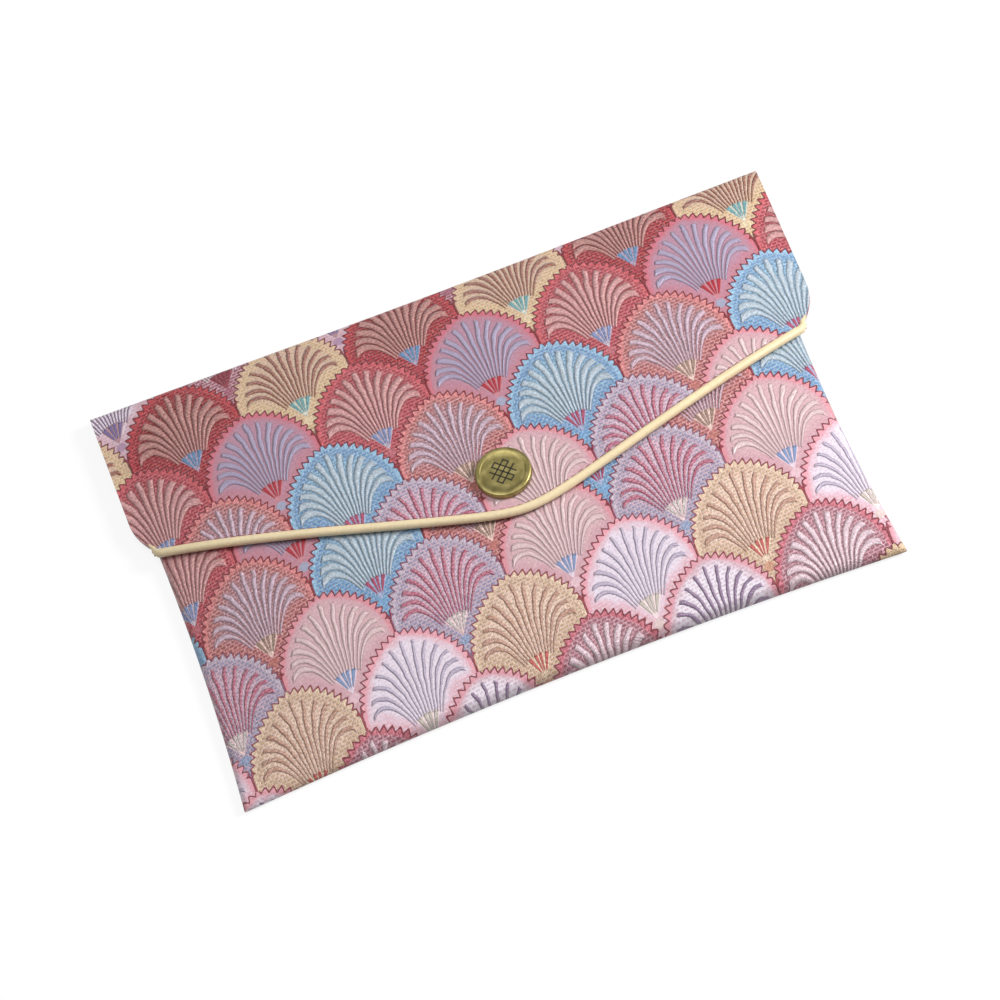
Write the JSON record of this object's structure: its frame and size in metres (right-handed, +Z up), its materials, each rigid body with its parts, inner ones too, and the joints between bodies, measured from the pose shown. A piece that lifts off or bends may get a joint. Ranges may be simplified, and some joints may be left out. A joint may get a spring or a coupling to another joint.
{
  "type": "brocade gift-money envelope",
  "caption": "Soft envelope pouch of shell-pattern brocade with a lined pocket, a pointed flap edged in satin piping and a round-capped press snap.",
  "frame": {"origin": "middle of the table side of the closed envelope's bounding box, lying on its back", "axes": "+X along the width, +Y towards the top fold, +Z up out of the flap"},
  "size_m": [0.1902, 0.127, 0.0116],
  "materials": {
    "brocade": "pink and red jacquard brocade",
    "interlining": "stiff non-woven",
    "lining": "satin",
    "piping": "cream satin",
    "cord": "twisted cotton",
    "antique_brass": "antique brass, satin",
    "snap_metal": "antique brass, satin"
  },
  "bodies": {
    "pouch": {"brocade_pouch": "brocade", "back_interlining": "interlining", "front_interlining": "interlining", "pocket_lining": "lining", "snap_stud": "snap_metal", "snap_stud_eyelet": "snap_metal"},
    "spine": {"spine_brocade": "brocade", "spine_interlining": "interlining", "spine_lining": "lining"},
    "flap": {"flap_brocade": "brocade", "flap_interlining": "interlining", "flap_lining": "lining", "flap_piping": "piping", "piping_cord": "cord", "snap_cap": "antique_brass", "snap_cap_post": "snap_metal", "snap_socket": "snap_metal", "snap_spring": "snap_metal"}
  },
  "joints": [
    {"name": "spine_fold", "type": "hinge", "parent": "pouch", "child": "spine", "pos_m": [0, 0.0635, 0], "axis": [-1, 0, 0], "range_deg": [0, 85]},
    {"name": "flap_fold", "type": "hinge", "parent": "spine", "child": "flap", "pos_m": [0, 0.0635, 0.0053], "axis": [-1, 0, 0], "range_deg": [0, 85]}
  ],
  "couplings": [
    {"joint": "flap_fold", "follows": "spine_fold", "ratio": 1}
  ]
}
